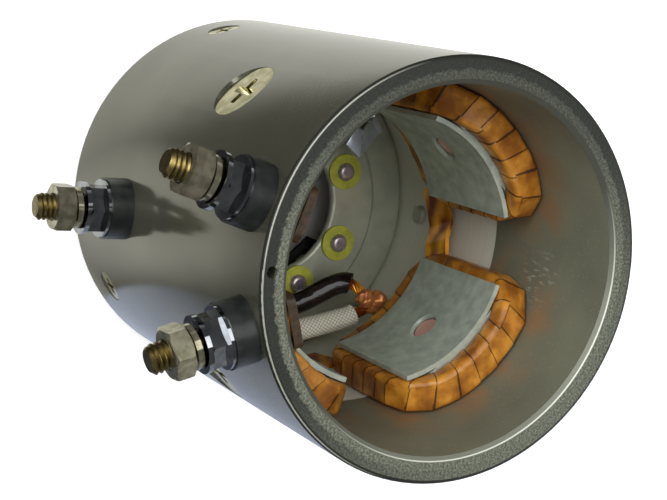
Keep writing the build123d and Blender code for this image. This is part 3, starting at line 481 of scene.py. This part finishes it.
def wrappedGrid(columns, rows, placeAt, uvAt):  # a grid whose points are then put in place by column and row
    mesh = bmesh.new()
    bmesh.ops.create_grid(mesh, x_segments=columns, y_segments=rows, size=0.5)
    uvLayer = mesh.loops.layers.uv.new("UVMap")
    cells = {vert: (round((vert.co.x + 0.5) * columns), round((vert.co.y + 0.5) * rows))
             for vert in mesh.verts}
    for face in mesh.faces:
        for loop in face.loops:
            loop[uvLayer].uv = uvAt(*cells[loop.vert])
    for vert, cell in cells.items():
        vert.co = placeAt(*cell)
    return mesh


# field coils: strap wound on the pole core, wrapped by hand in crepe tape and dipped in varnish

coilTape = {
    "innerRadius": 39.65, "outerRadius": 49.45, "halfAngle": 34.6, "halfLength": 28.85, "middleHeight": 80.15,
    "bandWidth": 6.4, "cornerRadius": 10.5, "edgeRadius": 1.5, "inset": 0.34,
    "wraps": 26, "rows": 40, "slip": 0.09, "thickness": 0.1, "seed": 7, "sharpAngle": 32,
    "lap": [(0.0, 0.0), (0.05, 0.27), (0.4, 0.2), (0.75, 0.08)],  # share of a wrap, and the height there
    "poleAngles": (45, 135, 225, 315),
}


def roundedLoop(share, halfWidth, halfHeight, corner):  # point and outward direction on a rounded rectangle
    runs = (2 * (halfHeight - corner), 2 * (halfWidth - corner))
    arc = math.pi / 2 * corner
    distance = share % 1 * (2 * sum(runs) + 4 * arc)
    side = 0
    while side < 3 and distance > runs[side % 2] + arc:
        distance -= runs[side % 2] + arc
        side += 1
    centre = Vector(((halfWidth - corner) * (1, -1, -1, 1)[side],
                     (halfHeight - corner) * (1, 1, -1, -1)[side]))
    heading = math.pi / 2 * side + max(0, distance - runs[side % 2]) / corner
    outwards = Vector((math.cos(heading), math.sin(heading)))
    back = max(0, runs[side % 2] - distance)
    return centre + corner * outwards - back * Vector((-outwards.y, outwards.x)), outwards


def tapedCoil(number, poleAngle):
    middle = (coilTape["innerRadius"] + coilTape["outerRadius"]) / 2
    half = coilTape["bandWidth"] / 2
    halfWide = math.radians(coilTape["halfAngle"]) * middle - half - coilTape["inset"]
    halfLong = coilTape["halfLength"] - half - coilTape["inset"]
    halfDeep = (coilTape["outerRadius"] - coilTape["innerRadius"]) / 2 - coilTape["inset"]
    chance = random.Random(coilTape["seed"] + number)
    wraps = coilTape["wraps"]
    slips = [chance.uniform(-coilTape["slip"], coilTape["slip"]) for _ in range(wraps)]
    builds = [chance.uniform(0, coilTape["thickness"]) for _ in range(wraps)]
    lap = coilTape["lap"]

    def seamPoint(wrap, around):  # on the edge of a wrap, as place along the bore, height and depth
        middlePoint, out = roundedLoop((wrap + slips[wrap % wraps] + around) / wraps, halfWide, halfLong,
                                       coilTape["cornerRadius"])
        spot, lean = roundedLoop(around, half, halfDeep, coilTape["edgeRadius"])
        edge = middlePoint + spot.x * out
        return Vector((edge.x, edge.y, spot.y)), Vector((lean.x * out.x, lean.x * out.y, lean.y))

    def placeAt(column, row):
        wrap, step = divmod(column, len(lap))
        share, lift = lap[step]
        around = row / coilTape["rows"]
        first, firstLean = seamPoint(wrap, around)
        second, secondLean = seamPoint(wrap + 1, around)
        lift -= builds[wrap % wraps] if step else 0
        spot = first.lerp(second, share) + lift * firstLean.lerp(secondLean, share)
        angle = math.radians(poleAngle) + spot.x / middle
        radius = middle + spot.z
        return radius * math.cos(angle), radius * math.sin(angle), coilTape["middleHeight"] + spot.y

    def uvAt(column, row):
        wrap, step = divmod(column, len(lap))
        return wrap + lap[step][0], row / coilTape["rows"]

    mesh = wrappedGrid(wraps * len(lap), coilTape["rows"], placeAt, uvAt)
    keepPiece(f"fieldCoilTape{number}", mesh, crepeTape, "coil_wrap", coilTape["sharpAngle"],
              f"field_coil_{number}")


tapeLook = {
    "varnishPatch": 6.25, "varnishDetail": 4.0,
    "amber": [(0.36, "#8C5212"), (0.5, "#B8761E"), (0.64, "#DE9A36")],
    "wrapShade": 0.35, "wrapTone": "#7A4418", "seamShare": 0.85, "seamTone": "#2E1A0C",
    "thickVarnish": 0.35, "thinVarnish": 0.65, "wideSeam": 0.11, "narrowSeam": 0.04,
    "crepeFolds": (3.0, 34.0, 1.0),  # in the width of a wrap, and round the coil's section
    "crepeDetail": 2.0, "crepeStrength": 0.6, "crepeBump": 0.2,
    "dull": 0.5, "glossy": 0.24, "ior": 1.5,
}
crepeTape, tree = newMaterial("varnishedCrepeTape")  # creped paper under amber varnish, darker at each lap
tapeUv = addNode(tree, "UVMap", uv_map="UVMap").outputs[0]
wrapPlace = addNode(tree, "SeparateXYZ", {0: tapeUv}).outputs["X"]
phase = addNode(tree, "Math", {0: wrapPlace}, operation="FRACT").outputs[0]
wrapNumber = addNode(tree, "Math", {0: wrapPlace}, operation="FLOOR").outputs[0]
varnish = addNode(tree, "TexNoise", {
    "Vector": objectMillimetres(tree), "Scale": 1 / tapeLook["varnishPatch"],
    "Detail": tapeLook["varnishDetail"]}).outputs["Fac"]
tone = addNode(tree, "ValToRGB", {"Fac": varnish}, stops=tapeLook["amber"]).outputs[0]
shade = addNode(tree, "TexWhiteNoise", {"W": wrapNumber}, noise_dimensions="1D").outputs["Value"]
shade = addNode(tree, "MapRange", {"Value": shade, "To Max": tapeLook["wrapShade"]}).outputs[0]
tone = addNode(tree, "MixRGB", {"Fac": shade, "Color1": tone, "Color2": tapeLook["wrapTone"]}).outputs[0]
# a dark line at each lap: partly varnish gathered at the step, partly painted shade under the overlapping
# edge, wider where the varnish is thick
pool = addNode(tree, "MapRange", {
    "Value": varnish, "From Min": tapeLook["thickVarnish"], "From Max": tapeLook["thinVarnish"],
    "To Min": tapeLook["wideSeam"], "To Max": tapeLook["narrowSeam"]}).outputs[0]
seam = addNode(tree, "Math", {0: phase, 1: pool}, operation="LESS_THAN").outputs[0]
seam = addNode(tree, "Math", {0: seam, 1: tapeLook["seamShare"]}, operation="MULTIPLY").outputs[0]
tone = addNode(tree, "MixRGB", {"Fac": seam, "Color1": tone, "Color2": tapeLook["seamTone"]}).outputs[0]
crepe = addNode(tree, "VectorMath", {0: tapeUv, 1: tapeLook["crepeFolds"]}, operation="MULTIPLY").outputs[0]
crepe = addNode(tree, "TexNoise", {
    "Vector": crepe, "Scale": 1.0, "Detail": tapeLook["crepeDetail"]}).outputs["Fac"]
bump = addNode(tree, "Bump", {
    "Height": crepe, "Strength": tapeLook["crepeStrength"],
    "Distance": tapeLook["crepeBump"] * mm}).outputs[0]
gloss = addNode(tree, "MapRange", {
    "Value": varnish, "To Min": tapeLook["dull"], "To Max": tapeLook["glossy"]}).outputs[0]
closeMaterial(tree, addNode(tree, "BsdfPrincipled", {
    "Base Color": tone, "Roughness": gloss, "Normal": bump, "IOR": tapeLook["ior"]}))
for number, poleAngle in zip(poleNumbers, coilTape["poleAngles"]):
    tapedCoil(number, poleAngle)
print("coils taped")


# terminal studs: 5/16 inch, with a rolled thread and a square head inside the tube

stud = {
    "radius": 3.97, "root": 3.38, "pitch": 1.41, "crestStart": 0.42, "crestEnd": 0.58, "turnSteps": 32,
    "threadStart": 69.0, "tip": 84.0, "tipBevel": 1.0, "shankSides": 48,
    "headPlace": 45.7, "headThickness": 2.0, "headWidth": 12.6, "headBevel": 1.0, "sharpAngle": 40,
    "terminals": ((-72.8, 125.9), (-107.2, 125.9), (-90.0, 42.9)),  # angle and height
}


def terminalStud(number, angle, height):
    mesh = bmesh.new()
    pitch = stud["pitch"]
    ridge = [(stud["root"], 0.0), (stud["radius"], stud["crestStart"]), (stud["radius"], stud["crestEnd"]),
             (stud["root"], 1.0)]
    corners = [mesh.verts.new((r, 0, stud["threadStart"] + pitch * (share - 1))) for r, share in ridge]
    edges = [mesh.edges.new(pair) for pair in zip(corners, corners[1:])]
    turns = math.ceil((stud["tip"] - stud["threadStart"]) / pitch) + 2
    bmesh.ops.spin(mesh, geom=corners + edges, cent=(0, 0, 0), axis=(0, 0, 1), use_merge=False,
                   dvec=(0, 0, pitch / stud["turnSteps"]), angle=2 * math.pi * turns,
                   steps=stud["turnSteps"] * turns)
    bmesh.ops.remove_doubles(mesh, verts=mesh.verts, dist=mergeGap)
    for vert in mesh.verts:  # the tip is turned down to a cone
        room = stud["radius"] - max(0, vert.co.z - stud["tip"] + stud["tipBevel"])
        flat = math.hypot(vert.co.x, vert.co.y)
        if flat > room:
            vert.co.x *= room / flat
            vert.co.y *= room / flat
    for level, keepAbove in ((stud["tip"], False), (stud["threadStart"], True)):
        bmesh.ops.bisect_plane(mesh, geom=mesh.verts[:] + mesh.edges[:] + mesh.faces[:],
                               plane_co=(0, 0, level), plane_no=(0, 0, 1), clear_inner=keepAbove,
                               clear_outer=not keepAbove)
    bmesh.ops.holes_fill(mesh, edges=[edge for edge in mesh.edges if edge.is_boundary], sides=0)

    headMiddle = stud["headPlace"] + stud["headThickness"] / 2
    shank = stud["threadStart"] - headMiddle
    bmesh.ops.create_cone(mesh, cap_ends=True, segments=stud["shankSides"], radius1=stud["radius"],
                          radius2=stud["radius"], depth=shank,
                          matrix=Matrix.Translation((0, 0, stud["threadStart"] - shank / 2)))
    head = bmesh.ops.create_cube(mesh, size=1.0)["verts"]
    bmesh.ops.scale(mesh, vec=(stud["headWidth"], stud["headWidth"], stud["headThickness"]), verts=head)
    bmesh.ops.translate(mesh, vec=(0, 0, headMiddle), verts=head)
    upright = [edge for edge in mesh.edges if edge.verts[0] in head and edge.verts[1] in head
               and abs(edge.verts[0].co.z - edge.verts[1].co.z) > stud["headThickness"] / 2]
    bmesh.ops.bevel(mesh, geom=upright, offset=stud["headBevel"], segments=1, profile=0.5, affect="EDGES",
                    material=-1)
    outward = (Matrix.Translation((0, 0, height)) @ Matrix.Rotation(math.radians(angle), 4, "Z")
               @ Matrix.Rotation(math.radians(90), 4, "Y"))  # the stud's Z then points away from the axis
    bmesh.ops.transform(mesh, matrix=outward, verts=mesh.verts)
    keepPiece(f"terminalStud{number}", mesh, goldThread, "stud_brass", stud["sharpAngle"],
              f"terminal_stud_{number}")


for number, (angle, height) in zip(terminalNumbers, stud["terminals"]):
    terminalStud(number, angle, height)
print("studs threaded")


# leads: stranded copper in a braided glass sleeve and in a black varnished one, joined by a soldered splice

armatureRoute = [  # in metres, the routes of the solids that these pieces cover
    (0.01060, -0.04150, 0.0429), (0.01899, -0.04150, 0.0429), (0.02851, -0.03623, 0.0428),
    (0.03647, -0.02738, 0.0427), (0.04104, -0.01502, 0.0426), (0.03856, -0.00182, 0.0425),
    (0.03564, 0.01199, 0.0426), (0.03209, 0.02552, 0.0429), (0.02790, 0.03153, 0.0437),
]
brushRoute = [
    (0.02679, 0.02765, 0.0439), (0.02244, 0.02581, 0.0403), (0.02260, 0.02078, 0.0375),
    (0.02643, 0.01441, 0.0361), (0.02984, 0.00839, 0.0353), (0.03161, 0.00238, 0.0339),
    (0.03111, -0.00368, 0.0299), (0.03111, -0.00368, 0.0195),
]
routeSteps = 16  # between neighbouring points of a route
leadSharpAngle = 50


def routeLine(name, points):  # the smooth line of a route, in millimetres
    curve = bpy.data.curves.new(name, "CURVE")
    curve.dimensions = "3D"
    spline = curve.splines.new("NURBS")
    spline.points.add(len(points) - 1)
    for point, spot in zip(spline.points, points):
        point.co = (*spot, 1)
    spline.order_u = 3
    spline.use_endpoint_u = True
    curve.resolution_u = routeSteps
    holder = bpy.data.objects.new(name, curve)
    line = [vert.co / mm for vert in bpy.data.meshes.new_from_object(holder).vertices]
    bpy.data.objects.remove(holder)
    return line


def lineLength(line):
    return sum((b - a).length for a, b in zip(line, line[1:]))


def lineFrames(line, distances):  # point, side and up at each distance, without twist
    frames = []
    side = None
    for distance in distances:
        left = max(0.0, distance)
        for a, b in zip(line, line[1:]):
            if left <= (b - a).length or b is line[-1]:
                break
            left -= (b - a).length
        ahead = (b - a).normalized()
        side = ahead.orthogonal() if side is None else side
        side = (side - side.dot(ahead) * ahead).normalized()
        frames.append((a + left * ahead, side.copy(), ahead.cross(side)))
    return frames


def rodAlong(line, profile, sides, ripple=0.0, lobes=0, lay=1.0):  # profile: distances along and radii
    frames = lineFrames(line, [distance for distance, _ in profile])

    def placeAt(column, row):
        spot, side, up = frames[column]
        distance, radius = profile[column]
        turnAngle = 2 * math.pi * row / sides
        radius *= 1 + ripple * math.cos(lobes * (turnAngle - 2 * math.pi * distance / lay))
        return spot + radius * (math.cos(turnAngle) * side + math.sin(turnAngle) * up)

    return wrappedGrid(len(profile) - 1, sides, placeAt,
                       lambda column, row: (profile[column][0], row / sides))


def evenProfile(start, end, radius, step, closed=True):
    count = max(2, round((end - start) / step))
    body = [(start + (end - start) * i / count, radius) for i in range(count + 1)]
    return [(start, 0.0)] + body + [(end, 0.0)] if closed else body


def joinMeshes(meshes):
    joined = bmesh.new()
    for mesh in meshes:
        data = bpy.data.meshes.new("part")
        mesh.to_mesh(data)
        mesh.free()
        joined.from_mesh(data)
        bpy.data.meshes.remove(data)
    return joined


strand = {"count": 9, "radius": 0.62, "circle": 1.25, "lay": 16.0, "step": 1.1, "sides": 7,
          "coreStep": 2.0, "coreSides": 12, "armatureSize": 1.0, "brushSize": 0.95}


def strandedRope(line, size):
    length = lineLength(line)
    count = round(length / strand["step"])
    distances = [length * i / count for i in range(count + 1)]
    frames = lineFrames(line, distances)
    meshes = []
    for number in range(strand["count"]):
        wire = []
        for distance, (spot, side, up) in zip(distances, frames):
            turnAngle = 2 * math.pi * (number / strand["count"] + distance / strand["lay"])
            outwards = math.cos(turnAngle) * side + math.sin(turnAngle) * up
            wire.append(spot + size * strand["circle"] * outwards)
        profile = evenProfile(0, lineLength(wire), size * strand["radius"], strand["step"])
        meshes.append(rodAlong(wire, profile, strand["sides"]))
    core = evenProfile(0, length, size * strand["circle"], strand["coreStep"])
    meshes.append(rodAlong(line, core, strand["coreSides"]))
    return joinMeshes(meshes)


armatureLine = routeLine("armatureRoute", armatureRoute)
brushLine = routeLine("brushRoute", brushRoute)
armatureLength = lineLength(armatureLine)
brushLength = lineLength(brushLine)
keepPiece("armatureStrands", strandedRope(armatureLine, strand["armatureSize"]), copper, "copper",
          leadSharpAngle, "armature_lead")
keepPiece("brushStrands", strandedRope(brushLine, strand["brushSize"]), copper, "copper", leadSharpAngle,
          "brush_lead")


def sleeveAlong(line, end, setup):  # a tube with open mouths that close out of sight
    mouth = setup["mouth"]
    inner = setup["radius"] - setup["wall"]
    start = setup["start"]
    profile = ([(start + mouth, 0.0), (start + mouth, inner), (start, inner)]
               + evenProfile(start, end, setup["radius"], setup["step"], closed=False)
               + [(end, inner), (end - mouth, inner), (end - mouth, 0.0)])
    return rodAlong(line, profile, setup["sides"])


braid = {"start": 6.2, "bareEnd": 8.4, "radius": 3.5, "wall": 0.5, "mouth": 2.0, "sides": 32, "step": 0.9,
         "plaitMm": 1.4, "plaits": 16, "yarn": [(0.25, "#F2F0DE"), (0.42, "#D2D0BC"), (0.49, "#8E8C7C")],
         "roughness": 0.6, "bump": 0.4}
glassBraid, tree = newMaterial("braidedGlassSleeve")  # white glass yarn, plaited over and under
sleeveUv = addNode(tree, "SeparateXYZ", {0: addNode(tree, "UVMap", uv_map="UVMap").outputs[0]}).outputs
along = addNode(tree, "Math", {0: sleeveUv["X"], 1: 1 / braid["plaitMm"]}, operation="MULTIPLY").outputs[0]
crossings = []
for sense in (1, -1):
    yarn = addNode(tree, "Math", {0: sleeveUv["Y"], 1: sense * braid["plaits"], 2: along},
                   operation="MULTIPLY_ADD").outputs[0]
    for operation in ("FRACT", "SUBTRACT", "ABSOLUTE"):  # distance from the middle of the nearest yarn
        yarn = addNode(tree, "Math", {0: yarn, 1: 0.5}, operation=operation).outputs[0]
    crossings.append(yarn)
weave = addNode(tree, "Math", {0: crossings[0], 1: crossings[1]}, operation="MAXIMUM").outputs[0]
tone = addNode(tree, "ValToRGB", {"Fac": weave}, stops=braid["yarn"]).outputs[0]
bump = addNode(tree, "Bump", {"Height": weave, "Strength": 1.0, "Distance": braid["bump"] * mm},
               invert=True).outputs[0]
closeMaterial(tree, addNode(tree, "BsdfPrincipled", {
    "Base Color": tone, "Roughness": braid["roughness"], "Normal": bump}))
keepPiece("armatureSleeve", sleeveAlong(armatureLine, armatureLength - braid["bareEnd"], braid), glassBraid,
          "white_braid", leadSharpAngle, "armature_lead_sleeve")

blackHose = {"start": 7.2, "bareEnd": 9.0, "radius": 3.5, "wall": 0.6, "mouth": 2.5, "sides": 28, "step": 1.2,
             "wrinkle": 5.0, "varnish": [(0.4, "#120E0E"), (0.7, "#2A2020")], "roughness": 0.16,
             "bumpStrength": 0.8, "bump": 1.0, "ior": 1.5}
hose, tree = newMaterial("varnishedBlackSleeve")  # cotton under thick black varnish, with soft wrinkles
wrinkle = addNode(tree, "TexNoise", {
    "Vector": objectMillimetres(tree), "Scale": 1 / blackHose["wrinkle"], "Detail": 1.0}).outputs["Fac"]
tone = addNode(tree, "ValToRGB", {"Fac": wrinkle}, stops=blackHose["varnish"]).outputs[0]
bump = addNode(tree, "Bump", {
    "Height": wrinkle, "Strength": blackHose["bumpStrength"], "Distance": blackHose["bump"] * mm}).outputs[0]
closeMaterial(tree, addNode(tree, "BsdfPrincipled", {
    "Base Color": tone, "Roughness": blackHose["roughness"], "Normal": bump, "IOR": blackHose["ior"]}))
keepPiece("brushSleeve", sleeveAlong(brushLine, brushLength - blackHose["bareEnd"], blackHose), hose,
          "black_sleeve", leadSharpAngle, "brush_lead_sleeve")

splice = {"armatureRadius": 3.2, "armatureLength": 8.4, "brushRadius": 2.9, "brushLength": 6.6, "columns": 14,
          "sides": 36, "ripple": 0.09, "lobes": 7, "wave": 0.1, "waves": 7.0, "endPower": 3, "endRound": 0.45}


def solderedLump(line, centre, length, radius):
    profile = []
    for i in range(splice["columns"] + 1):
        share = 2 * i / splice["columns"] - 1
        lump = 1 + splice["wave"] * math.sin(splice["waves"] * share + centre)
        rounded = (1 - abs(share) ** splice["endPower"]) ** splice["endRound"]
        profile.append((centre + share * length / 2, lump * radius * rounded))
    return rodAlong(line, profile, splice["sides"], splice["ripple"], splice["lobes"], strand["lay"])


def extended(line, reach):  # the line with a straight end past its last point
    return line + [line[-1] + reach * (line[-1] - line[-2]).normalized()]


lumps = [
    solderedLump(extended(armatureLine, splice["armatureLength"]), armatureLength, splice["armatureLength"],
                 splice["armatureRadius"]),
    solderedLump(extended(brushLine[::-1], splice["brushLength"]), brushLength, splice["brushLength"],
                 splice["brushRadius"]),
]
keepPiece("leadSplice", joinMeshes(lumps), solderedCopper, "copper", leadSharpAngle, "lead_splice")
print("leads routed", round(armatureLength, 1), round(brushLength, 1))


# lead clip: a tongue of bright sheet bent up from the brush plate, with its foot on the plate

leadClip = {
    "thickness": 0.9, "edge": 0.2, "edgeSteps": 2, "foot": 26.45, "tip": 36.95, "sharpAngle": 40,
    "stations": [  # angle and radius of the near and far edge, and share of the rise, from tip to foot
        ((139.5, 28.6), (141.5, 35.5), 1.0), ((126.4, 29.9), (137.5, 36.0), 1.0),
        ((124.3, 43.6), (132.0, 44.0), 0.0), ((124.0, 45.6), (131.5, 46.0), 0.0)],
}


def clipPlace(column, row):
    station = leadClip["stations"][column]
    angle, radius = station[row]
    height = leadClip["foot"] + station[2] * (leadClip["tip"] - leadClip["foot"])
    return radius * math.cos(math.radians(angle)), radius * math.sin(math.radians(angle)), height


clipMesh = wrappedGrid(len(leadClip["stations"]) - 1, 1, clipPlace, lambda column, row: (column, row))
bmesh.ops.recalc_face_normals(clipMesh, faces=clipMesh.faces)
bmesh.ops.solidify(clipMesh, geom=clipMesh.faces[:], thickness=leadClip["thickness"])
bmesh.ops.recalc_face_normals(clipMesh, faces=clipMesh.faces)
bmesh.ops.bevel(clipMesh, geom=clipMesh.edges[:], offset=leadClip["edge"], segments=leadClip["edgeSteps"],
                profile=0.5, affect="EDGES", material=-1)
keepPiece("leadClip", clipMesh, clipSteel, "bright_steel", leadClip["sharpAngle"])
print("clip bent")


# finishes of the solids that stay

dress(["coil_lead_cover_1", "coil_lead_cover_2"], crepeTape)
dress(["head_caps", "armature_lug"], capCloth)
dress([f"pole_shoe_{i}" for i in poleNumbers], poleSteel)
dress([f"coil_link_{i}" for i in terminalNumbers] + ["coil_lead_1", "coil_lead_2"], copper)
dress([f"terminal_bushing_{i}" for i in terminalNumbers] + ["fibre_washers"], phenolic)
dress([f"inner_insulator_{i}" for i in terminalNumbers], fibre)
dress([f"holder_insulator_{i}" for i in poleNumbers], fibre)
dress(["clamp_washers", "base_nuts", "flat_washers"], brightNickel)
dress(["lock_washers", "outer_nuts"], yellowZinc)
dress(["pole_screws", "plate_screws"], screwZinc)
dress([f"brush_holder_{i}" for i in poleNumbers], holderSteel)
dress(["brush_plate", "wall_pin"], plateSteel)
dress(["holder_rivets"], rivetSteel)
dress(["rivet_washers"], chromate)
dress([f"brush_spring_{i}" for i in poleNumbers], springSteel)
print("finishes assigned")
